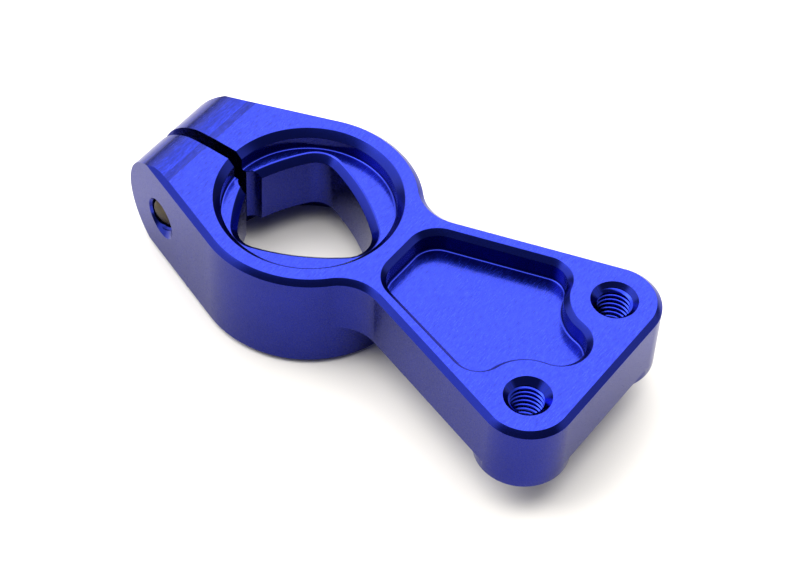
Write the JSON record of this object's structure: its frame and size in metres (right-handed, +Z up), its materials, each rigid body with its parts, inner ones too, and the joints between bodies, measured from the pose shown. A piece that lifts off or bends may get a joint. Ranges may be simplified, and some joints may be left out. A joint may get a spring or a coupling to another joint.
{
  "type": "split clamp bracket",
  "caption": "Machined anodised clamp bracket: a slotted ring with a shaped through opening and a pinch screw, and a tapered pocketed arm with tapped mounting holes.",
  "frame": {"origin": "middle of the bounding box in plan, on the underside of the clamp ring", "axes": "+X from the split ear through the clamp ring to the arm's two tapped holes, +Y across the arm towards the pinch screw's head, +Z up through the clamp opening"},
  "size_m": [0.0444, 0.0196, 0.0098],
  "materials": {
    "anodised_aluminium": "satin blue anodised over fine end-milling lines",
    "screw_steel": "dark bronze-olive oxide finish, slightly oily"
  },
  "bodies": {
    "bracket": {"clamp_bracket": "anodised_aluminium"},
    "screw": {"pinch_screw": "screw_steel"}
  },
  "joints": [
    {"name": "pinch_screw_turn", "type": "hinge", "parent": "bracket", "child": "screw", "pos_m": [-0.01754, 0, 0.00485], "axis": [0, -1, 0], "continuous": true}
  ]
}
